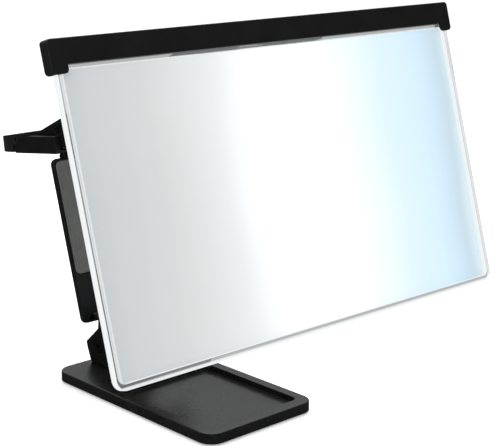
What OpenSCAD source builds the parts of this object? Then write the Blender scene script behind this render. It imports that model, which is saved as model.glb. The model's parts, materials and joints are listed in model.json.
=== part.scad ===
// Large stand magnifier for a phone: a weighted base, a friction-hinged phone
// holder, a pair of swing arms and a Fresnel lens hanging from a top bar.
// Origin: centre of the base's underside. +X right, +Y rear, +Z up.

/* [Lens] */
// Width of the clear lens panel over its rim
lens_w = 265; // [250:1:280]
// Height of the lens panel below the top bar
lens_h = 145.4; // [130:0.1:150]
// Lean of the lens and the phone holder away from upright, in degrees
lens_tilt = 16.2; // [14:0.1:18]
// Depth of the clear rim, front to back
rim_d = 4; // [3.6:0.1:4.4]
// Width of the clear rim seen from the front
rim_w = 3.2; // [2.8:0.1:4]
// Radius of the rim's outer corners
rim_r = 5.5; // [4:0.1:8]
// Height of the rim's top side that shows below the bar
rim_show = 2; // [1.5:0.1:3]
// Thickness of the Fresnel sheet
sheet_t = 1.5; // [1:0.1:1.8]

/* [Lens bar] */
// Height of the bar's front face
bar_h = 11.8; // [11.6:0.1:13]
// Distance the bar reaches past each side of the lens
bar_over = 3; // [2.5:0.1:8]
// Wall of the bar's front shell
bar_wall = 0.9; // [0.8:0.05:1.2]
// Width of the ears at the ends of the bar
ear_w = 9.3; // [8:0.1:10]
// Drop of the ears below the bar
ear_drop = 4; // [3:0.1:6]

/* [Swing arms] */
// Width of each arm
arm_w = 8; // [7:0.1:8]
// Centre of each arm from the middle plane
arm_x = 29; // [28:0.1:29]
// Radius of the arm's ends
arm_r = 5.2; // [4.8:0.1:5.2]

/* [Phone holder] */
// Distance from the lens to the front face of the holder plate
view_gap = 152.75; // [150:0.05:156]
// Width of the holder plate
plate_w = 78; // [76:1:80]
// Height of the bottom edge of the plate above the lens's bottom edge
plate_lo = 17.3; // [16:0.1:18]
// Height of the top edge of the plate above the lens's bottom edge
plate_hi = 111.4; // [110.5:0.1:112]
// Thickness of the holder plate
plate_t = 3.6; // [3.4:0.1:4]
// Height of the grey pad
pad_h = 64.5; // [60:0.5:72]
// Reach of the fold-out phone ledge
ledge_reach = 13; // [10:0.5:14]

/* [Top bracket] */
// Width of the bracket over its cheeks
cheek_span = 74; // [73:0.5:75]
// Length of the bracket, front to back
bracket_len = 65; // [62:0.5:68]
// Height of the bracket's cheeks
cheek_h = 10; // [9.8:0.1:11]
// Rise of the bracket towards the rear, in degrees from square to the plate
bracket_rise = 8.6; // [8:0.1:9]

/* [Base] */
// Width of the base
base_w = 78; // [74:1:90]
// Depth of the base
base_d = 136; // [134:1:150]
// Thickness of the base tray
base_t = 6; // [5.8:0.1:7]
// Radius of the base's corners
base_r = 9; // [8:0.5:12]
// Depth of the tray recess in the top
recess_t = 3.5; // [2.5:0.1:3.5]
// Thickness of the anti-slip mat under the base
mat_t = 0.8; // [0.6:0.1:1]

/* [Hidden] */
$fn = 48;

slack = 0.05;      // play between parts that turn on each other
seat = 0.02;       // play between parts that are fixed together
black = [0.12, 0.12, 0.12];
steel = [0.72, 0.73, 0.75];
clear = [0.9, 0.95, 1, 0.35];

// lens frame: origin at the lens's bottom edge, Y away from the viewer, Z up the lens
lens_y = -113.3;
lens_z = mat_t + base_t + 60.95;

// lens bar, in the lens frame
bar_lo = lens_h;
bar_hi = lens_h + bar_h;
bar_half = lens_w / 2 + bar_over;
bar_corner_r = 2;
bar_roof_t = 1.6;
ear_lo = bar_lo - ear_drop;
cover_t = 1;
cover_d0 = rim_d + slack;
cover_d1 = cover_d0 + cover_t;
rim_in_bar = 4;
rim_top = bar_lo + rim_in_bar;
boss_z = rim_top + 3.6;
boss_r = 2.1;
bar_screw_r = 0.8;
bar_screw_len = 4;
bar_screw_x = [14, 72, 120];

// clear rim and Fresnel sheet
hole_top = bar_lo - rim_show;
hole_r = rim_r - rim_w + 0.6;
rebate = 0.5;
rebate_r = hole_r + rebate;
sheet_d0 = rim_d - sheet_t - 0.1;

// lens hinge, in the lens frame
hinge_d = cover_d1 + arm_r + 1.2;
hinge_z = bar_hi - 7.5;
lug_t = 3.2;
lug_r = arm_r - 0.2;
lug_gap = 0.2;
lens_screw_r = 1.5;
lens_nut_r = 3.2;
lens_nut_t = 1.75;

// holder plate, in the lens frame
plate_d0 = view_gap;
plate_d1 = view_gap + plate_t;
plate_r = 3.5;
pad_margin = 1;
pad_seat = 1.2;
pad_t = 1.6;
pad_w = plate_w - 2 * pad_margin;
pad_hi = plate_hi - 1.5;
pad_lo = pad_hi - pad_h;
pad_r = 3.2;
back_w = 56;
back_lo = plate_lo + 0.5;
back_hi = 84;
back_t = 4;
back_d1 = plate_d1 + back_t;
back_core_w = 34;
back_core_z = [53, 81];
back_skin_t = 1.6;
holder_screw_x = 22;
holder_screw_z = [44, 76];
holder_screw_len = 5.2;

// phone ledge, in the lens frame
ledge_pin_d = plate_d0 - 5.5;
ledge_pin_z = 20.6;
knuckle_r = 2.1;
ledge_half = 32;
ledge_pin_r = 0.9;
ledge_lug_mid = 6;
ledge_lug_end = 4;
ledge_gap = 0.2;

// hinges of the support arm, Y and Z in the part's own frame
low_pin = [57, mat_t + base_t + 11.2];
high_pin = [55, mat_t + base_t + 38.1];
low_r = 8;
high_r = 7.5;
support_half = 11.9;
support_waist = 6.5;
washer_t = 0.6;
washer_r = 6;
cheek_in = support_half + washer_t + 2 * slack;
cheek_out = cheek_in + 3.6;
bolt_r = 2;
bolt_head_r = 4.2;
bolt_head_t = 1.9;
socket_r = 1.45;
socket_t = 1.2;
nut_r = 4.04;
nut_t = 2.2;
head_room = 0.1;

// top bracket frame: origin at the bracket's lower front edge, in the lens frame
bracket_d = plate_d0 - 1.05;
bracket_z = plate_hi + 2.3;
bracket_r = 18;
cheek_t = 3.6;
floor_t = 2;
inner_half = cheek_span / 2 - cheek_t;
pivot_b = 20;
pivot_h = 5.5;
shaft_r = 2;
shaft_in_cheek = 2.3;
well_b0 = 12;
well_b1 = 36;
bay_b1 = 16;
cheek_b1 = 41.2;
tongue_half = 28;
tongue_b1 = 58;
flange_half = 30;
flange_t = 3;
flange_lo = 86;
flange_screw_x = 22;
flange_screw_z = 95;
flange_screw_len = 4.2;
heel_b = 28;
heel_r = 3;
heel_tie_r = 1.8;
lever_pin_b = 39.7;
lever_pin_h = 7.9;
lever_pin_r = 1.1;
lever_t = 2.3;
lever_b0 = 27.6;
lever_slope = 5.1;
lever_front_h = 12.3;
over_cheek_h = cheek_h + 0.25;
skirt_t = 2.3;
skirt_b0 = cheek_b1 + 1.4;
skirt_h0 = 0.5;
ear_r = 2.9;
ear_room = 0.15;
ear_press_room = 0.45;
ear_x = cheek_span / 2 - skirt_t;
lever_boss_r = 2.6;
lever_boss_x = [14, 20];
toe_half = 14;
toe_t = 2.2;
toe_gap = 0.3;

// spring of the release lever, round its pin
wire_r = 0.3;
coil_r = lever_pin_r + wire_r + 0.12;
coils = 5;
coil_pitch = 1.5 * wire_r;
coil_half = (coils - 1) / 2 * coil_pitch;
leg_drop = 25;
leg_len = 6;
leg_r = 0.9 * wire_r;
spring_room = 0.3;

// pivots of the swing arms, in the lens frame
function turned(p, a) = [p[0] * cos(a) - p[1] * sin(a), p[0] * sin(a) + p[1] * cos(a)];
rear_pivot = [bracket_d, bracket_z] + turned([pivot_b, pivot_h], bracket_rise);
front_pivot = [hinge_d, hinge_z];
arm_run = front_pivot - rear_pivot;
arm_len = norm(arm_run);
arm_angle = atan2(arm_run[1], arm_run[0]);
arm_h = 8;
heel = turned([heel_b - pivot_b, 0], bracket_rise - arm_angle);
groove_w = 4;
groove_t = 1.2;
groove_len = arm_len - 34;
arm_rise = 6.8;    // top edge of the arm above its axis, over the stretch near the bracket
arm_rise_s = [2, 50, arm_len - 30];
gusset_h = 9.2;    // depth of the arm's underside below its axis, just in front of the bracket
gusset_s = [6, 20, 27, 50];
tie_r = 2.5;
tie_at = [arm_len - 26, 1.2];
tie_half = arm_x + arm_w / 2 - 2.1;

// base
base_z0 = mat_t;
base_top = mat_t + base_t;
ballast_t = 1.5;
ballast_inset = 2;
ballast_w = base_w - 2 * ballast_inset;
ballast_d = base_d - 2 * ballast_inset;
ballast_r = base_r - ballast_inset;
ballast_gap = 0.2;
mat_inset = 7;
recess_w = base_w - 13;
recess_y0 = -base_d / 2 + 8;
recess_y1 = 16;
recess_r = 4;
screw_r = 1;
screw_head_r = 2;
screw_head_t = 1.2;
base_screw_x = base_w / 2 - 4.6;
base_screw_y = [-base_d / 2 + 12, 44];
base_screw_len = 4.4;
foot_y0 = 44;
foot_y1 = 63.5;
foot_t = 1.8;
bracket_screw_x = (cheek_in + cheek_out) / 2;
bracket_screw_y = [48.5, 61];
bracket_screw_len = 12;
hinge_cheek_h = 24.4;
// side outline of the hinge bracket's cheeks, Y and Z: sole, sloping back, nose, top and front
cheek_outline = [for (p = [[0, 0], [19.5, 0], [20.6, 1.7], [23.1, 7.7], [24.4, 12],
    [10.6, hinge_cheek_h], [5.5, hinge_cheek_h], [1.5, 19]]) p + [foot_y0, base_top]];

// ---- shared shapes ----

module rounded(w, h, r) {
  square([w, h - 2 * r], center = true);
  square([w - 2 * r, h], center = true);
  for (x = [-1, 1], y = [-1, 1])
    translate([x * (w / 2 - r), y * (h / 2 - r)]) circle(r);
}

// an outline drawn in Y and Z, made solid from x0 to x1
module along_x(x0, x1) {
  translate([x0, 0, 0]) rotate([90, 0, 90]) linear_extrude(x1 - x0) children();
}

// an outline drawn in X and Z, made solid from y0 back to y1
module along_y(y0, y1) {
  translate([0, y1, 0]) rotate([90, 0, 0]) linear_extrude(y1 - y0) children();
}

module rod_x(x0, x1, r) {
  translate([x0, 0, 0]) rotate([0, 90, 0]) cylinder(h = x1 - x0, r = r);
}

module both_sides() {
  children();
  mirror([1, 0, 0]) children();
}

module in_lens_frame() {
  translate([0, lens_y, lens_z]) rotate([-lens_tilt, 0, 0]) children();
}

module in_bracket_frame() {
  in_lens_frame() translate([0, bracket_d, bracket_z]) rotate([bracket_rise, 0, 0]) children();
}

// outline of a link between two round ends, with one radius all along
module link(p, q, r) {
  run = q - p;
  translate(p) circle(r);
  translate(q) circle(r);
  translate(p) rotate(atan2(run[1], run[0])) translate([0, -r]) square([norm(run), 2 * r]);
}

// countersunk screw standing on z = 0, thread upwards
module countersunk(len) {
  cylinder(h = screw_head_r - screw_r, r1 = screw_head_r, r2 = screw_r);
  cylinder(h = len, r = screw_r);
}

// hole for a countersunk screw through the ballast plate
module countersunk_hole() {
  cylinder(h = screw_head_r - screw_r, r1 = screw_head_r + seat, r2 = screw_r + seat);
  cylinder(h = ballast_t + 1, r = screw_r + seat);
}

// screw with a domed head, head towards +Z, thread down from z = 0
module pan_screw(shank_r, head_r, head_t, len) {
  translate([0, 0, -len]) cylinder(h = len, r = shank_r);
  difference() {
    cylinder(h = head_t, r1 = head_r, r2 = head_r * 0.8);
    translate([0, 0, head_t - 0.5])
      for (a = [0, 90]) rotate(a) cube([head_r * 1.1, head_r * 0.25, 1.2], center = true);
  }
}

// hinge bolt along X through the support's hinges, with its head on the left
module hinge_bolt() {
  difference() {
    union() {
      rod_x(-cheek_out, cheek_out - 0.3, bolt_r);
      rod_x(-cheek_out, -cheek_out + bolt_head_t, bolt_head_r);
    }
    translate([-cheek_out - 1, 0, 0]) rotate([0, 90, 0])
      cylinder(h = socket_t + 1, r = socket_r, $fn = 6);
  }
}

module hinge_nut() {
  translate([cheek_out - nut_t, 0, 0]) rotate([0, 90, 0]) difference() {
    cylinder(h = nut_t - slack, r = nut_r, $fn = 6);
    translate([0, 0, -1]) cylinder(h = nut_t + 2, r = bolt_r + seat);
  }
}

// room for the hinge bolt, its head and its nut in a pair of cheeks
module hinge_bolt_room() {
  rod_x(-cheek_out - 1, cheek_out + 1, bolt_r + seat);
  rod_x(-cheek_out - 1, -cheek_out + bolt_head_t + seat, bolt_head_r + head_room);
  translate([cheek_out - nut_t - seat, 0, 0]) rotate([0, 90, 0])
    cylinder(h = nut_t + 2, r = nut_r + head_room, $fn = 6);
}

module friction_washers() {
  both_sides() translate([support_half + slack, 0, 0]) rotate([0, 90, 0]) difference() {
    cylinder(h = washer_t, r = washer_r);
    translate([0, 0, -1]) cylinder(h = washer_t + 2, r = bolt_r + slack);
  }
}

// ---- base ----

module base_screw_spots() {
  for (x = [-1, 1], y = base_screw_y) translate([x * base_screw_x, y, base_z0]) children();
}

module bracket_screw_spots() {
  for (x = [-1, 1], y = bracket_screw_y) translate([x * bracket_screw_x, y, base_z0]) children();
}

module base_tray() {
  color(black) difference() {
    translate([0, 0, base_z0]) linear_extrude(base_t) rounded(base_w, base_d, base_r);
    translate([0, (recess_y0 + recess_y1) / 2, base_top - recess_t])
      linear_extrude(recess_t + 1) rounded(recess_w, recess_y1 - recess_y0, recess_r);
    translate([0, 0, base_z0 - 1]) linear_extrude(ballast_t + 1 + seat)
      rounded(ballast_w, ballast_d, ballast_r);
    base_screw_spots() cylinder(h = base_screw_len + 0.2, r = screw_r + seat);
    bracket_screw_spots() cylinder(h = base_t + 1, r = screw_r + seat);
  }
}

module base_plate() {
  color(steel) difference() {
    translate([0, 0, base_z0]) linear_extrude(ballast_t)
      rounded(ballast_w - ballast_gap, ballast_d - ballast_gap, ballast_r);
    base_screw_spots() translate([0, 0, -seat]) countersunk_hole();
    bracket_screw_spots() translate([0, 0, -seat]) countersunk_hole();
  }
}

module anti_slip_mat() {
  color([0.07, 0.07, 0.07]) linear_extrude(mat_t)
    rounded(base_w - 2 * mat_inset, base_d - 2 * mat_inset, base_r - 3);
}

module base_screws() {
  color(steel) base_screw_spots() countersunk(base_screw_len);
}

module base_hinge_bracket() {
  foot = base_top;
  color(black) difference() {
    union() {
      both_sides() along_x(cheek_in, cheek_out) polygon(cheek_outline);
      translate([-cheek_out, foot_y0, foot]) cube([2 * cheek_out, foot_y1 - foot_y0, foot_t]);
    }
    translate([0, low_pin[0], low_pin[1]]) hinge_bolt_room();
    bracket_screw_spots() cylinder(h = bracket_screw_len + 0.6, r = screw_r + seat);
  }
}

module bracket_screws() {
  color(steel) bracket_screw_spots() countersunk(bracket_screw_len);
}

module base_hinge_bolt() {
  color(steel) translate([0, low_pin[0], low_pin[1]]) hinge_bolt();
}

module base_hinge_nut() {
  color(steel) translate([0, low_pin[0], low_pin[1]]) hinge_nut();
}

module base_friction_washers() {
  color(steel) translate([0, low_pin[0], low_pin[1]]) friction_washers();
}

// ---- support arm ----

module support_arm() {
  waist = support_waist;
  color(black) difference() {
    along_x(-support_half, support_half) {
      translate(low_pin) circle(low_r);
      translate(high_pin) circle(high_r);
      polygon([low_pin + [-waist, 0], low_pin + [waist, 0],
        high_pin + [waist, 0], high_pin + [-waist, 0]]);
    }
    for (p = [low_pin, high_pin])
      translate([0, p[0], p[1]]) rod_x(-support_half - 1, support_half + 1, bolt_r + slack);
    translate([0, (low_pin[0] + high_pin[0]) / 2 + waist, (low_pin[1] + high_pin[1]) / 2])
      cube([14, 2.4, 9], center = true);
  }
}

// ---- phone holder ----

module holder_screw_spots() {
  for (x = [-1, 1], z = holder_screw_z)
    translate([x * holder_screw_x, back_d1, z]) rotate([-90, 0, 0]) children();
}

module flange_screw_spots() {
  for (x = [-1, 1])
    translate([x * flange_screw_x, plate_d1 + flange_t + seat, flange_screw_z])
      rotate([-90, 0, 0]) children();
}

// knuckle of the plate that holds the ledge pin, on a neck low enough for the ledge to fold over
module plate_knuckle(x0, x1) {
  along_x(x0, x1) {
    translate([ledge_pin_d, ledge_pin_z]) circle(knuckle_r);
    translate([ledge_pin_d, ledge_pin_z - knuckle_r])
      square([plate_d0 - ledge_pin_d + 0.5, knuckle_r + 0.5]);
  }
}

module holder_plate() {
  mid = (plate_lo + plate_hi) / 2;
  color(black) in_lens_frame() difference() {
    union() {
      along_y(plate_d0, plate_d1) translate([0, mid]) rounded(plate_w, plate_hi - plate_lo, plate_r);
      plate_knuckle(-ledge_lug_mid, ledge_lug_mid);
      both_sides() plate_knuckle(ledge_half + ledge_gap, ledge_half + ledge_gap + ledge_lug_end);
    }
    along_y(plate_d0 - 1, plate_d0 + pad_seat)
      translate([0, (pad_lo + pad_hi) / 2]) rounded(pad_w, pad_h, pad_r);
    translate([0, ledge_pin_d, ledge_pin_z]) rod_x(-plate_w, plate_w, ledge_pin_r + seat);
    holder_screw_spots() translate([0, 0, -holder_screw_len - 0.2])
      cylinder(h = holder_screw_len, r = screw_r + seat);
    flange_screw_spots() translate([0, 0, -flange_screw_len - 0.2])
      cylinder(h = flange_screw_len, r = screw_r + seat);
  }
}

module holder_pad() {
  color([0.36, 0.36, 0.34]) in_lens_frame()
    along_y(plate_d0 + pad_seat - pad_t, plate_d0 + pad_seat - seat)
      translate([0, (pad_lo + pad_hi) / 2]) rounded(pad_w - 0.1, pad_h - 0.1, pad_r);
}

module holder_back() {
  pin = [0, high_pin[0], high_pin[1]];
  lug_reach = high_r + 1.2;
  gusset_z = 13;
  color(black) difference() {
    union() {
      in_lens_frame() difference() {
        along_y(plate_d1 + seat, back_d1)
          translate([0, (back_lo + back_hi) / 2]) rounded(back_w, back_hi - back_lo, 5);
        along_y(plate_d1 - 1, back_d1 - back_skin_t)
          translate([0, (back_core_z[0] + back_core_z[1]) / 2])
            rounded(back_core_w, back_core_z[1] - back_core_z[0], 4);
      }
      both_sides() translate(pin) rotate([-lens_tilt, 0, 0]) along_x(cheek_in, cheek_out) {
        circle(high_r);
        translate([-lug_reach, -high_r]) square([lug_reach, 2 * high_r]);
        polygon([[-lug_reach, high_r - 1], [-lug_reach, gusset_z], [-high_r, gusset_z], [0, high_r]]);
      }
    }
    translate(pin) hinge_bolt_room();
    in_lens_frame() holder_screw_spots() translate([0, 0, -back_t - 1])
      cylinder(h = back_t + 2, r = screw_r + seat);
  }
}

module holder_screws() {
  color(steel) in_lens_frame() holder_screw_spots()
    pan_screw(screw_r, screw_head_r, screw_head_t, holder_screw_len);
}

module holder_hinge_bolt() {
  color(steel) translate([0, high_pin[0], high_pin[1]]) hinge_bolt();
}

module holder_hinge_nut() {
  color(steel) translate([0, high_pin[0], high_pin[1]]) hinge_nut();
}

module holder_friction_washers() {
  color(steel) translate([0, high_pin[0], high_pin[1]]) friction_washers();
}

module phone_ledge() {
  lip_h = 3.4;
  lip_t = 1.8;
  shelf_t = 2;
  top = ledge_pin_z + knuckle_r;
  front = plate_d0 - 0.4 - ledge_reach;
  color(black) in_lens_frame() difference() {
    along_x(-ledge_half, ledge_half) {
      translate([ledge_pin_d, ledge_pin_z]) circle(knuckle_r);
      translate([front, top - shelf_t]) square([ledge_pin_d - front, shelf_t]);
      translate([front, top - shelf_t]) square([lip_t, lip_h + shelf_t]);
    }
    translate([0, ledge_pin_d, ledge_pin_z]) {
      rod_x(-plate_w, plate_w, ledge_pin_r + slack);
      rod_x(-ledge_lug_mid - ledge_gap, ledge_lug_mid + ledge_gap, knuckle_r + 0.35);
    }
  }
}

module ledge_pin() {
  reach = ledge_half + ledge_gap + ledge_lug_end;
  color(steel) in_lens_frame() translate([0, ledge_pin_d, ledge_pin_z])
    rod_x(-reach, reach, ledge_pin_r);
}

// ---- top bracket and release lever ----

// plan of a part with square front corners and round rear corners
module round_backed(half, b0, b1, r) {
  translate([-half, b0]) square([2 * half, b1 - b0 - r]);
  translate([-half + r, b0]) square([2 * (half - r), b1 - b0]);
  for (x = [-1, 1]) translate([x * (half - r), b1 - r]) circle(r);
}

// side outline round the lever's pin, running back from it
module pin_ear(r) {
  translate([lever_pin_b, lever_pin_h]) circle(r);
  translate([lever_pin_b, lever_pin_h - r]) square([skirt_b0 - lever_pin_b + 1, 2 * r]);
}

module top_bracket() {
  flange_hi = bracket_z + 1.6;
  shaft_hole = inner_half + shaft_in_cheek + 0.1;
  color(black) difference() {
    union() {
      in_bracket_frame() difference() {
        union() {
          linear_extrude(cheek_h) translate([-cheek_span / 2, 0]) square([cheek_span, cheek_b1]);
          translate([-tongue_half, well_b1, 0])
            cube([2 * tongue_half, tongue_b1 - well_b1, floor_t]);
        }
        translate([-inner_half, -1, floor_t])
          cube([2 * inner_half, bracket_len, cheek_h]);
        translate([-inner_half, well_b0, -1]) cube([2 * inner_half, well_b1 - well_b0, cheek_h]);
        both_sides() along_x(ear_x - ear_room, cheek_span) {
          pin_ear(ear_r + ear_room);
          translate([0, -ear_press_room]) pin_ear(ear_r);
        }
      }
      in_lens_frame() along_y(plate_d1 + seat, plate_d1 + seat + flange_t)
        translate([0, (flange_lo + flange_hi) / 2])
          rounded(2 * flange_half, flange_hi - flange_lo, 3);
    }
    in_bracket_frame() {
      translate([0, pivot_b, pivot_h]) rod_x(-shaft_hole, shaft_hole, shaft_r + seat);
      translate([0, lever_pin_b, lever_pin_h]) rod_x(-cheek_span, cheek_span, lever_pin_r + seat);
      translate([-inner_half, -flange_t - 1, floor_t])
        cube([2 * inner_half, bay_b1 + flange_t + 1, cheek_h]);
    }
    in_lens_frame() flange_screw_spots() translate([0, 0, -flange_t - 1])
      cylinder(h = flange_t + 2, r = screw_r + seat);
  }
}

module top_bracket_screws() {
  color(steel) in_lens_frame() flange_screw_spots()
    pan_screw(screw_r, screw_head_r, screw_head_t, flange_screw_len);
}

module arm_pivot_shaft() {
  reach = inner_half + shaft_in_cheek;
  color(steel) in_bracket_frame() translate([0, pivot_b, pivot_h]) rod_x(-reach, reach, shaft_r);
}

// everything above a plane that slopes down to the rear like the lever's top, drop below it
module above_lever(drop) {
  translate([0, lever_b0, lever_front_h - drop]) rotate([-lever_slope, 0, 0])
    translate([-cheek_span, -10, 0]) cube([2 * cheek_span, bracket_len, bracket_len]);
}

// the lever's shell: a sloping top with a skirt round the back of the bracket
module lever_shell() {
  difference() {
    translate([0, 0, skirt_h0]) linear_extrude(lever_front_h)
      round_backed(cheek_span / 2, lever_b0, bracket_len, bracket_r);
    above_lever(0);
    difference() {
      translate([0, 0, -1]) linear_extrude(lever_front_h)
        round_backed(ear_x, lever_b0 - 1, bracket_len - skirt_t, bracket_r - skirt_t);
      above_lever(lever_t);
    }
    both_sides() translate([inner_half - 0.4, lever_b0 - 2, -1])
      cube([cheek_t + 2, skirt_b0 - lever_b0 + 2, over_cheek_h + 1]);
  }
}

module release_lever() {
  spring_half = coil_half + wire_r + spring_room;
  boss_w = lever_boss_x[1] - lever_boss_x[0];
  color(black) in_bracket_frame() difference() {
    union() {
      lever_shell();
      both_sides() along_x(ear_x, cheek_span / 2) pin_ear(ear_r);
      both_sides() translate([lever_boss_x[0], lever_pin_b, lever_pin_h]) {
        rod_x(0, boss_w, lever_boss_r);
        translate([0, -lever_boss_r, 0]) cube([boss_w, 2 * lever_boss_r, 2.2]);
      }
      translate([-toe_half, lever_b0 + 0.6, pivot_h + heel_r + toe_gap])
        cube([2 * toe_half, toe_t, 2.4]);
    }
    translate([0, lever_pin_b, lever_pin_h]) rod_x(-cheek_span, cheek_span, lever_pin_r + slack);
    translate([-spring_half, lever_pin_b - 2.4, lever_pin_h - 3])
      cube([2 * spring_half, 6.8, 3 + coil_r + wire_r + 0.2]);
  }
}

module lever_pin() {
  reach = cheek_span / 2 - 0.8;
  color(steel) in_bracket_frame() translate([0, lever_pin_b, lever_pin_h])
    rod_x(-reach, reach, lever_pin_r);
}

// torsion spring: closed coils, one leg under the lever's rear end and one on the bracket's floor
module lever_spring() {
  color(steel) in_bracket_frame() translate([0, lever_pin_b, lever_pin_h]) {
    rotate([0, 90, 0]) rotate_extrude() for (i = [0 : coils - 1])
      translate([coil_r, i * coil_pitch - coil_half]) circle(wire_r);
    translate([coil_half, 0, 0]) rotate([-leg_drop, 0, 0]) translate([0, 0, coil_r])
      rotate([-90, 0, 0]) cylinder(h = leg_len, r = leg_r);
    translate([-coil_half, coil_r, 0]) mirror([0, 0, 1])
      cylinder(h = lever_pin_h - floor_t - seat, r = leg_r);
  }
}

// ---- swing arms ----

// frame with its origin on the rear pivot and Y along the arm towards the lens
module in_arm_frame() {
  in_lens_frame() translate([0, rear_pivot[0], rear_pivot[1]])
    rotate([arm_angle, 0, 0]) children();
}

module lens_arm() {
  color(black) in_arm_frame() translate([arm_x, 0, 0]) difference() {
    along_x(-arm_w / 2, arm_w / 2) {
      circle(arm_r);
      translate([arm_len, 0]) circle(lug_r);
      polygon([[0, -arm_r], [arm_rise_s[0], -arm_rise], [arm_rise_s[1], -arm_rise],
        [arm_rise_s[2], -arm_r], [arm_len, -arm_r], [arm_len, arm_h - arm_r],
        [gusset_s[3], arm_h - arm_r], [gusset_s[2], gusset_h], [gusset_s[1], gusset_h],
        [gusset_s[0], arm_r + 0.2], [0, arm_r - 1]]);
      link([0, 0], heel, heel_r);
    }
    rod_x(-arm_w, arm_w, shaft_r + slack);
    translate([0, arm_len, 0]) rod_x(-arm_w, arm_w, lens_screw_r + slack);
    translate([0, heel[0], heel[1]]) rod_x(-arm_w, arm_w / 2 - 2, heel_tie_r + seat);
    translate([0, tie_at[0], -tie_at[1]]) rod_x(-arm_w, arm_w / 2 - 2, tie_r + seat);
    along_x(arm_w / 2 - groove_t, arm_w)
      translate([arm_len / 2, arm_h / 2 - arm_r]) rounded(groove_len, groove_w, 1.9);
  }
}

module lens_arm_left() {
  mirror([1, 0, 0]) lens_arm();
}

module lens_arm_right() {
  lens_arm();
}

module arm_front_tie() {
  color(black) in_arm_frame() translate([0, tie_at[0], -tie_at[1]])
    rod_x(-tie_half, tie_half, tie_r);
}

module arm_heel_tie() {
  color(steel) in_bracket_frame() translate([0, heel_b, pivot_h])
    rod_x(-tie_half, tie_half, heel_tie_r);
}

// ---- lens head ----

// front outline of the bar with its two ears
module bar_outline() {
  translate([0, (bar_lo + bar_hi) / 2]) rounded(2 * bar_half, bar_h, bar_corner_r);
  for (x = [-1, 1]) translate([x * (bar_half - ear_w / 2), (ear_lo + bar_hi) / 2])
    rounded(ear_w, bar_h + ear_drop, bar_corner_r);
}

module bar_screw_spots() {
  both_sides() for (x = bar_screw_x)
    translate([x, cover_d1, boss_z]) rotate([-90, 0, 0]) children();
}

module lens_bar() {
  room_half = lens_w / 2 + 0.1;
  color(black) in_lens_frame() difference() {
    union() {
      difference() {
        along_y(-bar_wall, cover_d0 - seat) bar_outline();
        along_y(0, cover_d1) translate([-room_half, ear_lo - 1])
          square([2 * room_half, bar_hi - bar_roof_t - ear_lo + 1]);
      }
      both_sides() for (x = bar_screw_x) translate([x, cover_d0 - seat, boss_z])
        rotate([90, 0, 0]) cylinder(h = cover_d0 + bar_wall / 2, r = boss_r);
    }
    bar_screw_spots() translate([0, 0, -bar_screw_len - 0.4])
      cylinder(h = bar_screw_len, r = bar_screw_r + seat);
  }
}

// one pair of clevis lugs for one arm
module clevis() {
  for (x = [arm_x - arm_w / 2 - lug_gap - lug_t, arm_x + arm_w / 2 + lug_gap])
    along_x(x, x + lug_t) {
      translate(front_pivot) circle(lug_r);
      translate([cover_d1 - 0.5, front_pivot[1] - lug_r])
        square([front_pivot[0] - cover_d1 + 0.5, 2 * lug_r]);
    }
}

module lens_bar_cover() {
  color(black) in_lens_frame() difference() {
    union() {
      along_y(cover_d0, cover_d1) bar_outline();
      both_sides() clevis();
    }
    both_sides() translate([arm_x, front_pivot[0], front_pivot[1]])
      rod_x(-12, 12, lens_screw_r + seat);
    bar_screw_spots() translate([0, 0, -cover_t - 1])
      cylinder(h = cover_t + 2, r = bar_screw_r + seat);
  }
}

module bar_screws() {
  color(steel) in_lens_frame() bar_screw_spots()
    pan_screw(bar_screw_r, 2 * bar_screw_r, 0.9, bar_screw_len);
}

// rounded outline from the given inset at the sides and bottom up to a given height
module lens_outline(inset, top, r) {
  translate([0, (inset + top) / 2]) rounded(lens_w - 2 * inset, top - inset, r);
}

module lens_rim() {
  color(clear) in_lens_frame() difference() {
    along_y(0, rim_d) lens_outline(0, rim_top, rim_r);
    along_y(-1, rim_d + 1) lens_outline(rim_w, hole_top, hole_r);
    along_y(sheet_d0, rim_d + 1) lens_outline(rim_w - rebate, hole_top + rebate, rebate_r);
  }
}

module fresnel_lens() {
  color(clear) in_lens_frame() along_y(sheet_d0 + seat, sheet_d0 + seat + sheet_t)
    lens_outline(rim_w - rebate + slack, hole_top + rebate - slack, rebate_r);
}

module lens_hinge_screws() {
  face = arm_x + arm_w / 2 + lug_gap + lug_t;
  len = arm_w + 2 * lug_gap + 2 * lug_t + lens_nut_t;
  color(steel) in_lens_frame() both_sides() translate([face, front_pivot[0], front_pivot[1]])
    rotate([0, 90, 0]) pan_screw(lens_screw_r, 3, 1.6, len);
}

module lens_hinge_nuts() {
  face = arm_x - arm_w / 2 - lug_gap - lug_t;
  color(steel) in_lens_frame() both_sides()
    translate([face - lens_nut_t - seat, front_pivot[0], front_pivot[1]]) rotate([0, 90, 0])
      difference() {
        cylinder(h = lens_nut_t, r = lens_nut_r, $fn = 6);
        translate([0, 0, -1]) cylinder(h = lens_nut_t + 2, r = lens_screw_r + seat);
      }
}

base_tray();
base_plate();
anti_slip_mat();
base_screws();
base_hinge_bracket();
bracket_screws();
base_hinge_bolt();
base_hinge_nut();
base_friction_washers();
support_arm();
holder_plate();
holder_pad();
holder_back();
holder_screws();
holder_hinge_bolt();
holder_hinge_nut();
holder_friction_washers();
top_bracket();
top_bracket_screws();
arm_pivot_shaft();
release_lever();
lever_pin();
lever_spring();
phone_ledge();
ledge_pin();
lens_arm_left();
lens_arm_right();
arm_front_tie();
arm_heel_tie();
lens_bar();
lens_bar_cover();
bar_screws();
lens_rim();
fresnel_lens();
lens_hinge_screws();
lens_hinge_nuts();
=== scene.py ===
"""Looks of a large stand magnifier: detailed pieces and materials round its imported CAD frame."""

import json
import math

import bmesh
import bpy
from mathutils import Matrix, Vector


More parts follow.
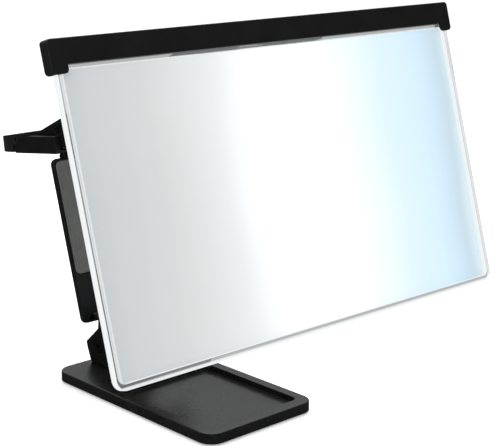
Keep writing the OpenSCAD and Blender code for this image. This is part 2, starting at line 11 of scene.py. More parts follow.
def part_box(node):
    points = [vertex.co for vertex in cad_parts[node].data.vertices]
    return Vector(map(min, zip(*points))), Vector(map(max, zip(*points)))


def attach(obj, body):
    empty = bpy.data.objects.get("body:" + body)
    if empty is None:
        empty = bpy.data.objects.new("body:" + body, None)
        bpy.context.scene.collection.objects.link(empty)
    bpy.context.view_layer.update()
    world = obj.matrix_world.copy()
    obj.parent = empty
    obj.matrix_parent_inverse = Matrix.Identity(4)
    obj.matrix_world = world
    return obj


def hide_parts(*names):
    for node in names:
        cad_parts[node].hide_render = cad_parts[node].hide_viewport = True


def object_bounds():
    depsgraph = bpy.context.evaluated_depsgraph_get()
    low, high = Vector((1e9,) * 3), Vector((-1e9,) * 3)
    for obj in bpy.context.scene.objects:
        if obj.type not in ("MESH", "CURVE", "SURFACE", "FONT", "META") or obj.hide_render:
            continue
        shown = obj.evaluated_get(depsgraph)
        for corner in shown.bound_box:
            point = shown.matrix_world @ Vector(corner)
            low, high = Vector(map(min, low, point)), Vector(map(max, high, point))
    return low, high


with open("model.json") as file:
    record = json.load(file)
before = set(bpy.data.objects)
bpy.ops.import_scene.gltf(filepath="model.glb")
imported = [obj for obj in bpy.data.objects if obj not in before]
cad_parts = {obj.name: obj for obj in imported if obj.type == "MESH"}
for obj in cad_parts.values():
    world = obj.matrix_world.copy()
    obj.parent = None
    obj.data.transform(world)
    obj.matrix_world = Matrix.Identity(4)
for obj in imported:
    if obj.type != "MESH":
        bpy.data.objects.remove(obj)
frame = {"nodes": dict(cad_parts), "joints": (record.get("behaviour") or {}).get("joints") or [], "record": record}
cad_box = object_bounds()

MM = 0.001

# the body each CAD node rides on
BODY_OF = {node: body for body, nodes in frame["record"]["behaviour"]["bodies"].items() for node in nodes}


# ---- frames -----------------------------------------------------------------

def joint_place(name):
    """Where a joint's axis passes, in the row frame."""
    joint = next(j for j in frame["joints"] if j["name"] == name)
    return Vector(joint["pos_m"])


def lens_lean():
    """How far the lens and the phone holder lean back, from the pad's facing direction."""
    mount = next(m for m in frame["record"]["mounts"] if m["name"] == "phone_rest")
    facing = Vector(mount["axis"])
    return math.atan2(facing.z, -facing.y)


def local_box(node, matrix):
    """Lowest and highest corner of a CAD node in the axes of matrix."""
    inverse = matrix.inverted()
    points = [inverse @ v.co for v in frame["nodes"][node].data.vertices]
    low = Vector([min(p[i] for p in points) for i in range(3)])
    high = Vector([max(p[i] for p in points) for i in range(3)])
    return low, high


def level_box(node, z):
    """Lowest and highest corner of the flat face of a CAD node at height z."""
    points = [v.co for v in frame["nodes"][node].data.vertices if abs(v.co.z - z) < 0.05 * MM]
    low = Vector([min(p[i] for p in points) for i in range(3)])
    high = Vector([max(p[i] for p in points) for i in range(3)])
    return low, high


def lens_frame():
    """Axes of the lens: X along it, Y behind its front face, Z up it from its bottom edge."""
    turn = Matrix.Rotation(-lens_lean(), 4, "X")
    low, high = local_box("lens_rim", turn)
    return turn @ Matrix.Translation((0, low.y, low.z))


LENS = lens_frame()
BRACKET_RISE = math.radians(8.6)


# ---- mesh helpers -----------------------------------------------------------

def rounded_loop(width, height, radius, centre=(0, 0), steps=10):
    """Points of a rounded rectangle, anticlockwise, with steps segments in each corner."""
    loop = []
    for sx, sy, start in ((1, -1, -90), (1, 1, 0), (-1, 1, 90), (-1, -1, 180)):
        cx = centre[0] + sx * (width / 2 - radius)
        cy = centre[1] + sy * (height / 2 - radius)
        for i in range(steps + 1):
            a = math.radians(start + 90 * i / steps)
            loop.append((cx + radius * math.cos(a), cy + radius * math.sin(a)))
    return loop


def arc(cx, cy, radius, start, end, steps=4):
    """Points on an arc, angles in degrees."""
    angles = [math.radians(start + (end - start) * i / steps) for i in range(steps + 1)]
    return [(cx + radius * math.cos(a), cy + radius * math.sin(a)) for a in angles]


def finish_mesh(bm, name, body, material, nodes=(), sharp=40):
    """Turns a bmesh into a smooth-shaded piece that rides on a body and stands for CAD nodes."""
    bmesh.ops.recalc_face_normals(bm, faces=bm.faces)
    mesh = bpy.data.meshes.new(name)
    for face in bm.faces:
        face.smooth = True
    bm.to_mesh(mesh)
    bm.free()
    mesh.set_sharp_from_angle(angle=math.radians(sharp))
    mesh.materials.append(material)
    piece = bpy.data.objects.new(name, mesh)
    bpy.context.scene.collection.objects.link(piece)
    even = piece.modifiers.new("even_shading", "WEIGHTED_NORMAL")
    even.keep_sharp = True
    even.weight = 100
    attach(piece, body)
    if nodes:
        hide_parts(*nodes)
    return piece


def bridged(bm, loops, closed=False):
    """Joins loops of equal length with quads; an open run of loops is capped at both ends."""
    rings = [[bm.verts.new(p) for p in loop] for loop in loops]
    pairs = list(zip(rings, rings[1:]))
    if closed:
        pairs.append((rings[-1], rings[0]))
    for a, b in pairs:
        for i in range(len(a)):
            j = (i + 1) % len(a)
            bm.faces.new((a[i], a[j], b[j], b[i]))
    if not closed:
        bm.faces.new(rings[0])
        bm.faces.new(rings[-1])
    return rings


def softened(node, material, width, segments=3):
    """A copy of a CAD node with clean flat faces and its outer edges rounded by width."""
    weld = 2e-6
    flat = math.radians(0.4)
    corner = math.radians(30)
    bm = bmesh.new()
    bm.from_mesh(frame["nodes"][node].data)
    bmesh.ops.remove_doubles(bm, verts=bm.verts, dist=weld)
    bmesh.ops.dissolve_limit(bm, angle_limit=flat, verts=bm.verts, edges=bm.edges)
    edges = [e for e in bm.edges if e.is_convex and e.calc_face_angle(0) > corner]
    bmesh.ops.bevel(
        bm, geom=edges, offset=width, offset_type="OFFSET", segments=segments,
        profile=0.5, affect="EDGES", clamp_overlap=False,
    )
    return finish_mesh(bm, node + "_piece", BODY_OF[node], material, [node])


# ---- material helpers -------------------------------------------------------

def new_material(name):
    """A material with an empty node tree and its output node."""
    material = bpy.data.materials.new(name)
    material.use_nodes = True
    tree = material.node_tree
    tree.nodes.clear()
    output = tree.nodes.new("ShaderNodeOutputMaterial")
    return material, tree, output


def add(tree, kind, settings=None, **inputs):
    """A shader node with its attributes from settings and its input values by name."""
    node = tree.nodes.new("ShaderNode" + kind)
    for key, value in (settings or {}).items():
        setattr(node, key, value)
    for key, value in inputs.items():
        node.inputs[key.replace("_", " ")].default_value = value
    return node


def link(tree, source, output, target, entry):
    """Joins an output of one shader node to an input of another."""
    tree.links.new(source.outputs[output], target.inputs[entry])


def noise(tree, size, detail=2.0, roughness=0.5, stretch=None):
    """Noise in the object's own space, whose features are about size across."""
    place = add(tree, "TexCoord")
    texture = add(tree, "TexNoise", Scale=1 / size, Detail=detail, Roughness=roughness)
    if stretch is None:
        link(tree, place, "Object", texture, "Vector")
        return texture
    mapping = add(tree, "Mapping", Scale=stretch)
    link(tree, place, "Object", mapping, "Vector")
    link(tree, mapping, "Vector", texture, "Vector")
    return texture


def ranged(tree, source, output, low, high, to_low, to_high):
    """A value mapped from one range to another, clamped."""
    node = add(tree, "MapRange")
    node.inputs["From Min"].default_value = low
    node.inputs["From Max"].default_value = high
    node.inputs["To Min"].default_value = to_low
    node.inputs["To Max"].default_value = to_high
    link(tree, source, output, node, "Value")
    return node


def ramp(tree, source, output, stops):
    """A colour ramp with the given (position, colour) stops."""
    node = add(tree, "ValToRGB")
    elements = node.color_ramp.elements
    elements[0].position, elements[0].color = stops[0][0], (*stops[0][1], 1)
    elements[1].position, elements[1].color = stops[-1][0], (*stops[-1][1], 1)
    for position, colour in stops[1:-1]:
        element = elements.new(position)
        element.color = (*colour, 1)
    link(tree, source, output, node, "Fac")
    return node


# the colour sockets of a Mix node, which also has float and vector ones of the same names
COLOUR_A, COLOUR_B, COLOUR_OUT = 6, 7, 2


def blended(tree, factor, first, second):
    """A mix of two colours; each argument is a (node, output) pair."""
    node = add(tree, "Mix", {"data_type": "RGBA"})
    link(tree, *factor, node, 0)
    link(tree, *first, node, COLOUR_A)
    link(tree, *second, node, COLOUR_B)
    return node


def edge_mask(tree, radius):
    """Near 1 along sharp outer edges and 0 on flat faces, from the bevelled normal."""
    bevel = add(tree, "Bevel", {"samples": 6}, Radius=radius)
    geometry = add(tree, "NewGeometry")
    dot = add(tree, "VectorMath", {"operation": "DOT_PRODUCT"})
    link(tree, bevel, "Normal", dot, 0)
    link(tree, geometry, "Normal", dot, 1)
    return ranged(tree, dot, "Value", 0.99, 0.8, 0, 1)


# ---- materials --------------------------------------------------------------

def moulded_plastic(name, tone, roughness, grain, depth, wear=0.5, specular=0.35):
    """Spark-eroded moulded plastic: a fine grain, faint mottling and lighter rubbed edges."""
    material, tree, output = new_material(name)
    shader = add(tree, "BsdfPrincipled")
    shader.inputs["Specular IOR Level"].default_value = specular
    mottle = noise(tree, 14 * MM, detail=5, roughness=0.6)
    body = ramp(tree, mottle, "Fac", [(0.3, [c * 0.82 for c in tone]), (0.7, [c * 1.2 for c in tone])])
    edges = edge_mask(tree, 0.6 * MM)
    scuffs = noise(tree, 2.5 * MM, detail=4, roughness=0.7)
    rubbed = add(tree, "Math", {"operation": "MULTIPLY"})
    link(tree, edges, "Result", rubbed, 0)
    link(tree, ranged(tree, scuffs, "Fac", 0.35, 0.65, 0.3 * wear, wear), "Result", rubbed, 1)
    worn = add(tree, "RGB")
    worn.outputs[0].default_value = (*[c * 2.2 + 0.012 for c in tone], 1)
    colour = blended(tree, (rubbed, "Value"), (body, "Color"), (worn, "Color"))
    link(tree, colour, COLOUR_OUT, shader, "Base Color")
    gloss = ranged(tree, mottle, "Fac", 0.3, 0.7, roughness - 0.05, roughness + 0.06)
    link(tree, gloss, "Result", shader, "Roughness")
    texture = noise(tree, grain, detail=2.5, roughness=0.6)
    bump = add(tree, "Bump", Strength=0.55, Distance=depth)
    link(tree, texture, "Fac", bump, "Height")
    link(tree, bump, "Normal", shader, "Normal")
    link(tree, shader, "BSDF", output, "Surface")
    return material


def soft_silicone(name, tone, weave):
    """Matt silicone with a fine cross-hatched press pattern, a little dust and painted highlights along its edges.
    """
    material, tree, output = new_material(name)
    shader = add(tree, "BsdfPrincipled", Roughness=0.62)
    shader.inputs["Specular IOR Level"].default_value = 0.35
    shader.inputs["Sheen Weight"].default_value = 0.15
    dust = noise(tree, 6 * MM, detail=6, roughness=0.7)
    flat = ramp(tree, dust, "Fac", [(0.35, [c * 0.88 for c in tone]), (0.72, [c * 1.14 for c in tone])])
    # painted highlight: the rounded edges are coloured lighter where light would catch them
    pale = add(tree, "RGB")
    pale.outputs[0].default_value = (*[c * 2.3 for c in tone], 1)
    colour = blended(tree, (edge_mask(tree, 0.5 * MM), "Result"), (flat, "Color"), (pale, "Color"))
    link(tree, colour, COLOUR_OUT, shader, "Base Color")
    place = add(tree, "TexCoord")
    heights = []
    for turn in (45, -45):
        mapping = add(tree, "Mapping", Rotation=(0, math.radians(turn), 0))
        wave = add(tree, "TexWave", {"bands_direction": "X"}, Scale=0.16 / weave)
        link(tree, place, "Object", mapping, "Vector")
        link(tree, mapping, "Vector", wave, "Vector")
        heights.append(wave)
    height = add(tree, "Math", {"operation": "ADD"})
    link(tree, heights[0], "Fac", height, 0)
    link(tree, heights[1], "Fac", height, 1)
    bump = add(tree, "Bump", Strength=0.35, Distance=0.04 * MM)
    link(tree, height, "Value", bump, "Height")
    link(tree, bump, "Normal", shader, "Normal")
    link(tree, shader, "BSDF", output, "Surface")
    return material


def plated_steel(name, tone, roughness, brush=(1, 1, 1)):
    """Zinc-plated steel with fine brushing and a cloudy finish."""
    material, tree, output = new_material(name)
    shader = add(tree, "BsdfPrincipled", Metallic=1.0)
    cloud = noise(tree, 4 * MM, detail=5, roughness=0.65)
    dull = [c * 0.8 for c in tone]
    bright = [min(1, c * 1.12) for c in tone]
    colour = ramp(tree, cloud, "Fac", [(0.3, dull), (0.7, bright)])
    link(tree, colour, "Color", shader, "Base Color")
    gloss = ranged(tree, cloud, "Fac", 0.3, 0.7, roughness - 0.08, roughness + 0.1)
    link(tree, gloss, "Result", shader, "Roughness")
    lines = noise(tree, 0.25 * MM, detail=3, roughness=0.7, stretch=brush)
    bump = add(tree, "Bump", Strength=0.3, Distance=0.01 * MM)
    link(tree, lines, "Fac", bump, "Height")
    link(tree, bump, "Normal", shader, "Normal")
    link(tree, shader, "BSDF", output, "Surface")
    return material


def clear_acrylic(name):
    """Polished clear acrylic with faint smears, whose side walls and sill carry a painted glow: an emission that
    stands in for light gathered in the acrylic.
    """
    material, tree, output = new_material(name)
    glass = add(tree, "BsdfPrincipled", IOR=1.49)
    glass.inputs["Transmission Weight"].default_value = 1.0
    smears = noise(tree, 9 * MM, detail=5, roughness=0.6)
    tint = ramp(tree, smears, "Fac", [(0.3, (0.965, 0.985, 0.99)), (0.7, (0.995, 1.0, 1.0))])
    link(tree, tint, "Color", glass, "Base Color")
    gloss = ranged(tree, smears, "Fac", 0.35, 0.7, 0.0, 0.03)
    link(tree, gloss, "Result", glass, "Roughness")
    # painted glow: this emission, mixed in on the side-on walls and along the sill, stands in for light gathered
    # in the acrylic
    glow = add(tree, "Emission", Color=(0.97, 0.99, 1.0, 1), Strength=1.0)
    place = add(tree, "TexCoord")
    facing = add(tree, "VectorMath", {"operation": "DOT_PRODUCT"})
    facing.inputs[1].default_value = (0, -math.cos(lens_lean()), math.sin(lens_lean()))
    link(tree, place, "Normal", facing, 0)
    flatness = add(tree, "Math", {"operation": "ABSOLUTE"})
    link(tree, facing, "Value", flatness, 0)
    edges = ranged(tree, flatness, "Value", 0.7, 0.985, 0.6, 0.07)
    upward = LENS.to_3x3().col[2]
    bottom = LENS.translation.dot(upward)
    height = add(tree, "VectorMath", {"operation": "DOT_PRODUCT"})
    height.inputs[1].default_value = upward
    link(tree, place, "Object", height, 0)
    sill = ranged(tree, height, "Value", bottom + 1.2 * MM, bottom + 1.6 * MM, 0.6, 0)
    painted_glow = add(tree, "Math", {"operation": "MAXIMUM"})
    link(tree, edges, "Result", painted_glow, 0)
    link(tree, sill, "Result", painted_glow, 1)
    lit = add(tree, "MixShader")
    link(tree, painted_glow, "Value", lit, 0)
    link(tree, glass, "BSDF", lit, 1)
    link(tree, glow, "Emission", lit, 2)
    # shadow rays pass, so that what lies behind the acrylic is lit
    passing = add(tree, "BsdfTransparent", Color=(0.96, 0.97, 0.975, 1))
    rays = add(tree, "LightPath")
    mix = add(tree, "MixShader")
    link(tree, rays, "Is Shadow Ray", mix, 0)
    link(tree, lit, "Shader", mix, 1)
    link(tree, passing, "BSDF", mix, 2)
    link(tree, mix, "Shader", output, "Surface")
    return material


# colour of the Fresnel sheet across its width, with reflected and refracted light painted in as grey, white and
# pale blue bands: place in mm from the middle, colour
SHEET_PAINTED_LIGHT = [
    (-129.0, (0.5, 0.52, 0.53)),
    (-115, (0.545, 0.56, 0.57)),
    (-88, (0.585, 0.59, 0.59)),
    (-65, (0.64, 0.65, 0.645)),
    (-45, (0.69, 0.7, 0.7)),
    (-25, (0.79, 0.8, 0.8)),
    (25, (0.82, 0.84, 0.84)),
    (52, (0.73, 0.79, 0.83)),
    (75, (0.645, 0.735, 0.8)),
    (98, (0.61, 0.72, 0.79)),
    (113, (0.56, 0.67, 0.735)),
    (123, (0.53, 0.62, 0.67)),
    (129.0, (0.6, 0.68, 0.71)),
]


def fresnel_sheet(name, half_width):
    """Milky Fresnel sheet with painted reflection and refracted light: light grey at its left, white in the
    middle, pale blue at its right.
    """
    material, tree, output = new_material(name)
    place = add(tree, "TexCoord")
    split = add(tree, "SeparateXYZ")
    link(tree, place, "Object", split, "Vector")
    drift = ranged(tree, noise(tree, 70 * MM, detail=1.0), "Fac", 0.3, 0.7, -3 * MM, 3 * MM)
    shifted = add(tree, "Math", {"operation": "ADD"})
    link(tree, split, "X", shifted, 0)
    link(tree, drift, "Result", shifted, 1)
    across = ranged(tree, shifted, "Value", -half_width, half_width, 0, 1)
    stops = [((x * MM + half_width) / (2 * half_width), colour) for x, colour in SHEET_PAINTED_LIGHT]
    # painted reflection: these bands are reflected and refracted light painted into the sheet's colour
    bands = ramp(tree, across, "Result", stops)
    front = add(tree, "BsdfDiffuse", Roughness=0.4)
    behind = add(tree, "BsdfTranslucent")
    link(tree, bands, "Color", front, "Color")
    link(tree, bands, "Color", behind, "Color")
    milk = add(tree, "MixShader", Fac=0.35)
    link(tree, front, "BSDF", milk, 1)
    link(tree, behind, "BSDF", milk, 2)
    gloss = add(tree, "BsdfGlossy", Roughness=0.28)
    layer = add(tree, "Fresnel", IOR=1.2)
    coated = add(tree, "MixShader")
    link(tree, layer, "Fac", coated, 0)
    link(tree, milk, "Shader", coated, 1)
    link(tree, gloss, "BSDF", coated, 2)
    # painted glow: an emission in the band colours stands in for bright light refracted through the sheet
    painted_glow = add(tree, "Emission", Strength=0.34)
    link(tree, bands, "Color", painted_glow, "Color")
    total = add(tree, "AddShader")
    link(tree, coated, "Shader", total, 0)
    link(tree, painted_glow, "Emission", total, 1)
    link(tree, total, "Shader", output, "Surface")
    return material


BLACK = moulded_plastic("black_plastic", (0.0075, 0.0075, 0.0072), 0.5, 0.32 * MM, 0.05 * MM)
BLACK_BASE = moulded_plastic(
    "base_plastic", (0.0085, 0.0084, 0.008), 0.28, 0.45 * MM, 0.07 * MM, specular=0.25)
# painted shade: the holder parts get a darker, less shiny copy of the black plastic that stands in for the shade
# on their faces
BLACK_HOLDER_SHADED = moulded_plastic(
    "holder_plastic_shaded", (0.0055, 0.0055, 0.0053), 0.5, 0.32 * MM, 0.05 * MM, specular=0.2)
BLACK_GRIP = moulded_plastic("lever_plastic", (0.009, 0.009, 0.009), 0.44, 0.25 * MM, 0.03 * MM)
RUBBER = moulded_plastic("mat_rubber", (0.016, 0.016, 0.016), 0.8, 0.8 * MM, 0.12 * MM, 0.1, 0.2)
SILICONE = soft_silicone("grey_silicone", (0.09, 0.09, 0.084), 0.6 * MM)
STEEL = plated_steel("plated_steel", (0.6, 0.61, 0.62), 0.3, (1, 6, 6))
BLACKED = plated_steel("blackened_steel", (0.035, 0.035, 0.037), 0.42)
BALLAST = plated_steel("ballast_steel", (0.5, 0.51, 0.52), 0.38, (0.15, 6, 6))
SPRING = plated_steel("spring_steel", (0.42, 0.42, 0.44), 0.24, (6, 1, 1))
WASHER = plated_steel("washer_bronze", (0.62, 0.5, 0.33), 0.34, (1, 1, 8))
ACRYLIC = clear_acrylic("clear_acrylic")


# ---- base -------------------------------------------------------------------

def base_tray():
    """The tray with rounded top edges, a sunk floor and the pocket for the ballast below."""
    low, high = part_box("base_tray")
    plate_low, plate_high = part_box("base_plate")
    width, depth = high.x - low.x, high.y - low.y
    corner = 9 * MM
    edge = 0.9 * MM
    recess_corner = 4 * MM
    least_corner = 1.5 * MM
    pocket_corner = 7 * MM
    pocket_play = 0.1 * MM
    sill = high.z - 3.5 * MM
    sunk_low, sunk_high = level_box("base_tray", sill)
    recess_w = sunk_high.x - sunk_low.x
    recess_d = sunk_high.y - sunk_low.y
    recess_mid = (0, (sunk_low.y + sunk_high.y) / 2)
    lip = 0.45 * MM
    cove = 0.5 * MM
    pocket_w = plate_high.x - plate_low.x + 2 * pocket_play
    pocket_d = plate_high.y - plate_low.y + 2 * pocket_play

    def outer(inset, z):
        loop = rounded_loop(width - 2 * inset, depth - 2 * inset, corner - inset, steps=14)
        return [(x, y, z) for x, y in loop]

    def inner(inset, z):
        radius = max(recess_corner - inset, least_corner)
        loop = rounded_loop(recess_w - 2 * inset, recess_d - 2 * inset, radius, recess_mid, 14)
        return [(x, y, z) for x, y in loop]

    def pocket(z):
        loop = rounded_loop(pocket_w, pocket_d, pocket_corner, steps=14)
        return [(x, y, z) for x, y in loop]

    loops = [pocket(plate_high.z), pocket(low.z)]
    loops += [outer(i, z) for i, z in arc(edge / 2, low.z + edge / 2, edge / 2, 270, 180)]
    loops += [outer(i, z) for i, z in arc(edge, high.z - edge, edge, 180, 90)]
    loops += [inner(i, z) for i, z in arc(-lip, high.z - lip, lip, 90, 0)]
    loops += [inner(i, z) for i, z in arc(cove, sill + cove, cove, 180, 270)]
    bm = bmesh.new()
    bridged(bm, loops)
    return finish_mesh(bm, "base_tray_piece", "base", BLACK_BASE, ["base_tray"])


def anti_slip_mat():
    """The mat under the base, with its edges rounded."""
    low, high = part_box("anti_slip_mat")
    width, depth = high.x - low.x, high.y - low.y
    corner = 6 * MM
    edge = 0.25 * MM
    loops = []
    for inset, z in arc(edge, high.z - edge, edge, 90, 180) + arc(edge, low.z + edge, edge, 180, 270):
        loop = rounded_loop(width - 2 * inset, depth - 2 * inset, corner - inset)
        loops.append([(x, y, z) for x, y in loop])
    bm = bmesh.new()
    bridged(bm, loops)
    return finish_mesh(bm, "anti_slip_mat_piece", "base", RUBBER, ["anti_slip_mat"])


# ---- phone holder -----------------------------------------------------------

def holder_pad():
    """The grey pad with a raised, rounded lip round a slightly sunk face."""
    low, high = local_box("holder_pad", LENS)
    width, height = high.x - low.x, high.z - low.z
    middle = ((low.x + high.x) / 2, (low.z + high.z) / 2)
    corner = 3.2 * MM
    least_corner = 1.2 * MM
    round_r = 0.35 * MM
    lip_w = 1.5 * MM
    slope_w = 0.3 * MM
    field_w = 1.2 * MM
    sunk = 0.3 * MM

    def ring(inset, d):
        radius = max(corner - inset, least_corner)
        loop = rounded_loop(width - 2 * inset, height - 2 * inset, radius, middle)
        return [LENS @ Vector((x, d, z)) for x, z in loop]

    loops = [ring(0, high.y)]
    loops += [ring(i, d) for i, d in arc(round_r, low.y + round_r, round_r, 180, 270)]
    loops += [ring(i, d) for i, d in arc(lip_w, low.y + round_r, round_r, 270, 330)]
    loops += [ring(lip_w + round_r + slope_w, low.y + sunk)]
    loops += [ring(lip_w + field_w, low.y + sunk)]
    bm = bmesh.new()
    bridged(bm, loops)
    return finish_mesh(bm, "holder_pad_piece", "holder", SILICONE, ["holder_pad"])


def lever_spring():
    """The torsion spring as one wire: its legs and a helix wound round the lever pin."""
    low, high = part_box("lever_spring")
    centre = joint_place("lever_press")
    wire = 0.3 * MM
    coil = 1.52 * MM
    turns = 3.25
    steps = 20
    half = (high.x - low.x) / 2 - wire
    turn = Matrix.Rotation(BRACKET_RISE - lens_lean(), 4, "X")
    drop = math.radians(25)
    rear_leg = 6 * MM
    floor_leg = 5.8 * MM
    count = round(turns * steps)
    path = []
    start = math.pi / 2 - drop
    for i in range(count + 1):
        a = start + 2 * math.pi * turns * i / count
        path.append(Vector((half - 2 * half * i / count, coil * math.cos(a), coil * math.sin(a))))
    along = Vector((0, math.cos(drop), -math.sin(drop)))
    path.insert(0, path[0] + along * rear_leg)
    last = path[-1]
    path.append(last + (last - path[-2]).normalized() * floor_leg)
    curve = bpy.data.curves.new("lever_spring_path", "CURVE")
    curve.dimensions = "3D"
    curve.bevel_depth = wire
    curve.bevel_resolution = 3
    curve.use_fill_caps = True
    spline = curve.splines.new("POLY")
    spline.points.add(len(path) - 1)
    for point, place in zip(spline.points, path):
        point.co = (*(centre + turn @ place), 1)
    wound = bpy.data.objects.new("lever_spring_path", curve)
    bpy.context.scene.collection.objects.link(wound)
    bpy.context.view_layer.update()
    mesh = bpy.data.meshes.new_from_object(wound.evaluated_get(bpy.context.evaluated_depsgraph_get()))
    bpy.data.objects.remove(wound)
    bm = bmesh.new()
    bm.from_mesh(mesh)
    bmesh.ops.remove_doubles(bm, verts=bm.verts, dist=1e-6)
    return finish_mesh(bm, "lever_spring_piece", "holder", SPRING, ["lever_spring"], sharp=60)


# ---- lens -------------------------------------------------------------------

RIM_LOW, RIM_HIGH = local_box("lens_rim", LENS)
SHEET_LOW, SHEET_HIGH = local_box("fresnel_lens", LENS)
RIM_WIDTH = 3.2 * MM
REBATE = 0.5 * MM


def lens_loop(inset, top, radius, d, steps=10):
    """A rounded outline of the lens at depth d, up to height top."""
    width = RIM_HIGH.x - RIM_LOW.x - 2 * inset
    loop = rounded_loop(width, top - inset, radius, (0, (top + inset) / 2), steps)
    return [LENS @ Vector((x, d, z)) for x, z in loop]


def lens_rim():
    """The clear rim: rounded edges round its front and back and a rebate for the sheet."""
    top = RIM_HIGH.z
    depth = RIM_HIGH.y
    sheet_play = 0.05 * MM
    seat = SHEET_LOW.y - 0.02 * MM
    hole_top = SHEET_HIGH.z - REBATE + sheet_play
    corner = 5.5 * MM
    hole_r = 2.9 * MM
    edge = 0.55 * MM
    small = 0.3 * MM

    def outer(i, d):
        return lens_loop(i, top - i, corner - i, d)

    def hole(i, d):
        return lens_loop(RIM_WIDTH + i, hole_top - i, hole_r - i, d)

    def pocket(d):
        return lens_loop(RIM_WIDTH - REBATE, hole_top + REBATE, hole_r + REBATE, d)

    loops = [outer(i, d) for i, d in arc(edge, edge, edge, 180, 270)]
    loops += [hole(i, d) for i, d in arc(-small, small, small, 270, 360)]
    loops += [hole(0, seat), pocket(seat), pocket(depth)]
    loops += [outer(i, d) for i, d in arc(edge, depth - edge, edge, 90, 180)]
    bm = bmesh.new()
    bridged(bm, loops, closed=True)
    return finish_mesh(bm, "lens_rim_piece", "head", ACRYLIC, ["lens_rim"])


def fresnel_lens():
    """The Fresnel sheet: smooth in front, with concentric sawtooth grooves cut in its rear."""
    pitch = 1.5 * MM
    groove = 0.14 * MM
    crest, root = 0.02, 0.94
    spokes = 180
    centre = (SHEET_LOW + SHEET_HIGH) / 2
    corner = 3.4 * MM
    outline = rounded_loop(
        SHEET_HIGH.x - SHEET_LOW.x, SHEET_HIGH.z - SHEET_LOW.z, corner, (centre.x, centre.z), 5)
    reach = (Vector((SHEET_HIGH.x, SHEET_HIGH.z)) - Vector((centre.x, centre.z))).length + pitch
    radii = []
    for k in range(math.ceil(reach / pitch)):
        radii += [((k + crest) * pitch, 0), ((k + root) * pitch, groove)]
    bm = bmesh.new()
    rings = []
    for radius, sunk in radii:
        ring = []
        for s in range(spokes):
            a = 2 * math.pi * s / spokes
            x = centre.x + radius * math.cos(a)
            z = centre.z + radius * math.sin(a)
            ring.append(bm.verts.new((x, SHEET_HIGH.y - sunk, z)))
        rings.append(ring)
    bm.faces.new(rings[0])
    for a, b in zip(rings, rings[1:]):
        for i in range(spokes):
            j = (i + 1) % spokes
            bm.faces.new((a[i], a[j], b[j], b[i]))
    for (ax, az), (bx, bz) in zip(outline, outline[1:] + outline[:1]):
        outward = Vector((bz - az, 0, ax - bx))
        if outward.length < 1e-9:
            continue
        bmesh.ops.bisect_plane(
            bm, geom=bm.verts[:] + bm.edges[:] + bm.faces[:], dist=1e-8,
            plane_co=(ax, 0, az), plane_no=outward.normalized(), clear_outer=True)
    bmesh.ops.remove_doubles(bm, verts=bm.verts, dist=1e-6)
    border = [e for e in bm.edges if e.is_boundary]
    made = bmesh.ops.extrude_edge_only(bm, edges=border)["geom"]
    front = [v for v in made if isinstance(v, bmesh.types.BMVert)]
    for vert in front:
        vert.co.y = SHEET_LOW.y
    rim = [e for e in made if isinstance(e, bmesh.types.BMEdge) and e.is_boundary]
    bmesh.ops.contextual_create(bm, geom=rim)
    bmesh.ops.transform(bm, matrix=LENS, verts=bm.verts)
    material = fresnel_sheet("fresnel_sheet", (SHEET_HIGH.x - SHEET_LOW.x) / 2)
    return finish_mesh(bm, "fresnel_lens_piece", "head", material, ["fresnel_lens"], sharp=20)


# ---- studio -----------------------------------------------------------------

def floor():
    """A plain pale floor, level with the underside of the mat; reflections see it darker."""
    bm = bmesh.new()
    size = 6.0
    bmesh.ops.create_grid(bm, x_segments=1, y_segments=1, size=size)
    mesh = bpy.data.meshes.new("floor")
    bm.to_mesh(mesh)
    bm.free()
    material, tree, output = new_material("pale_floor")
    pale = add(tree, "BsdfDiffuse", Color=(0.93, 0.93, 0.93, 1))
    dim = add(tree, "BsdfDiffuse", Color=(0.07, 0.07, 0.07, 1))
    rays = add(tree, "LightPath")
    mix = add(tree, "MixShader")
    link(tree, rays, "Is Glossy Ray", mix, 0)
    link(tree, pale, "BSDF", mix, 1)
    link(tree, dim, "BSDF", mix, 2)
    seen = add(tree, "Math", {"operation": "MAXIMUM"})
    link(tree, rays, "Is Camera Ray", seen, 0)
    link(tree, rays, "Is Transmission Ray", seen, 1)
    lift = add(tree, "Emission", Strength=0.3)
    dark = add(tree, "Emission", Strength=0.0)
    faint = add(tree, "MixShader")
    link(tree, seen, "Value", faint, 0)
    link(tree, dark, "Emission", faint, 1)
    link(tree, lift, "Emission", faint, 2)
    total = add(tree, "AddShader")
    link(tree, mix, "Shader", total, 0)
    link(tree, faint, "Shader", total, 1)
    link(tree, total, "Shader", output, "Surface")
    mesh.materials.append(material)
    plane = bpy.data.objects.new("floor", mesh)
    plane.location.z = cad_box[0].z - 0.02 * MM
    bpy.context.scene.collection.objects.link(plane)


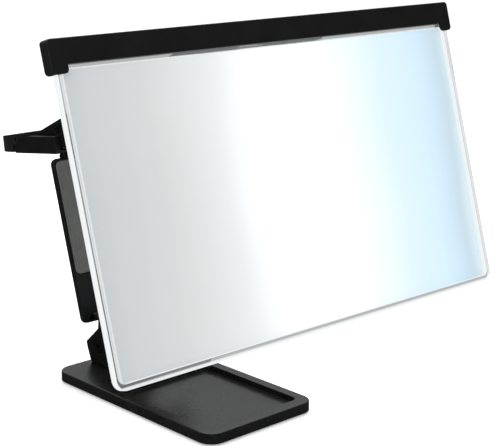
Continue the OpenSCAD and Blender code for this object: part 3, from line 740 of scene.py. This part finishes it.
def surroundings():
    """A white room; what the black parts mirror is bright above and behind them and dim in front."""
    world = bpy.data.worlds.new("studio")
    bpy.context.scene.world = world
    world.use_nodes = True
    tree = world.node_tree
    tree.nodes.clear()
    output = tree.nodes.new("ShaderNodeOutputWorld")
    white = add(tree, "Background", Color=(1, 1, 1, 1), Strength=1.0)
    room = add(tree, "Background", Color=(0.97, 0.985, 1.0, 1), Strength=0.75)
    place = add(tree, "TexCoord")
    toward = add(tree, "VectorMath", {"operation": "DOT_PRODUCT"})
    toward.inputs[1].default_value = Vector((0.45, 0.8, 0.4)).normalized()
    link(tree, place, "Generated", toward, 0)
    glow = ranged(tree, toward, "Value", 0.2, 0.95, 0.04, 0.9)
    split = add(tree, "SeparateXYZ")
    link(tree, place, "Generated", split, "Vector")
    rise = ranged(tree, split, "Z", 0.27, 0.45, 0.3, 1.5)
    strength = add(tree, "Math", {"operation": "MULTIPLY"})
    link(tree, glow, "Result", strength, 0)
    link(tree, rise, "Result", strength, 1)
    mirrored = add(tree, "Background", Color=(0.97, 0.985, 1.0, 1))
    link(tree, strength, "Value", mirrored, "Strength")
    rays = add(tree, "LightPath")
    seen = add(tree, "Math", {"operation": "MAXIMUM"})
    link(tree, rays, "Is Camera Ray", seen, 0)
    link(tree, rays, "Is Transmission Ray", seen, 1)
    reflect = add(tree, "MixShader")
    link(tree, rays, "Is Glossy Ray", reflect, 0)
    link(tree, room, "Background", reflect, 1)
    link(tree, mirrored, "Background", reflect, 2)
    final = add(tree, "MixShader")
    link(tree, seen, "Value", final, 0)
    link(tree, reflect, "Shader", final, 1)
    link(tree, white, "Background", final, 2)
    link(tree, final, "Shader", output, "Surface")


def softbox(name, place, target, size, power):
    """A square area light at place, facing target."""
    light = bpy.data.lights.new(name, "AREA")
    light.energy = power
    light.size = size
    lamp = bpy.data.objects.new(name, light)
    lamp.location = place
    lamp.rotation_euler = (Vector(target) - Vector(place)).to_track_quat("-Z", "Y").to_euler()
    bpy.context.scene.collection.objects.link(lamp)


def camera():
    """The camera, at the reference view's angle: turned 43 degrees and 14 degrees above level."""
    azimuth, elevation, roll = math.radians(43.13), math.radians(14.23), math.radians(0.35)
    data = bpy.data.cameras.new("camera")
    data.sensor_width = 36
    data.lens = 102.2
    data.clip_start = 0.01
    looking = Vector((
        math.sin(azimuth) * math.cos(elevation),
        math.cos(azimuth) * math.cos(elevation),
        -math.sin(elevation),
    ))
    body = bpy.data.objects.new("camera", data)
    body.location = (-0.48613, -0.57245, 0.29136)
    facing = looking.to_track_quat("-Z", "Y").to_matrix().to_4x4()
    body.rotation_euler = (facing @ Matrix.Rotation(roll, 4, "Z")).to_euler()
    bpy.context.scene.collection.objects.link(body)
    bpy.context.scene.camera = body


# ---- assembly ---------------------------------------------------------------

# rounding of each node's outer edges, and its material
SOFTENED = {
    "base_plate": (0.2, BALLAST),
    "base_screws": (0.1, STEEL),
    "base_hinge_bracket": (0.6, BLACK_HOLDER_SHADED),
    "bracket_screws": (0.1, STEEL),
    "base_hinge_bolt": (0.25, BLACKED),
    "base_hinge_nut": (0.25, BLACKED),
    "base_friction_washers": (0.08, WASHER),
    "support_arm": (1.0, BLACK_HOLDER_SHADED),
    "holder_plate": (0.6, BLACK_HOLDER_SHADED),
    "holder_back": (0.6, BLACK_HOLDER_SHADED),
    "holder_screws": (0.1, STEEL),
    "holder_hinge_bolt": (0.25, BLACKED),
    "holder_hinge_nut": (0.25, BLACKED),
    "holder_friction_washers": (0.08, WASHER),
    "top_bracket": (0.5, BLACK_HOLDER_SHADED),
    "top_bracket_screws": (0.1, STEEL),
    "arm_pivot_shaft": (0.2, STEEL),
    "release_lever": (0.25, BLACK_GRIP),
    "lever_pin": (0.2, BLACKED),
    "phone_ledge": (0.4, BLACK_HOLDER_SHADED),
    "ledge_pin": (0.15, STEEL),
    "lens_arm_left": (0.6, BLACK_HOLDER_SHADED),
    "lens_arm_right": (0.6, BLACK_HOLDER_SHADED),
    "arm_front_tie": (0.3, BLACK_HOLDER_SHADED),
    "arm_heel_tie": (0.2, STEEL),
    "lens_bar": (0.5, BLACK),
    "lens_bar_cover": (0.3, BLACK),
    "bar_screws": (0.08, STEEL),
    "lens_hinge_screws": (0.15, STEEL),
    "lens_hinge_nuts": (0.2, STEEL),
}

for node, (width, material) in SOFTENED.items():
    softened(node, material, width * MM)
base_tray()
anti_slip_mat()
holder_pad()
lever_spring()
lens_rim()
fresnel_lens()

floor()
surroundings()
softbox("top_light", (0.35, 0.45, 1.3), (0, 0, 0.1), 1.0, 14)
softbox("front_light", (-0.9, -0.7, 0.9), (0, -0.05, 0.12), 0.8, 4)
camera()
bpy.context.scene.view_settings.view_transform = "Standard"
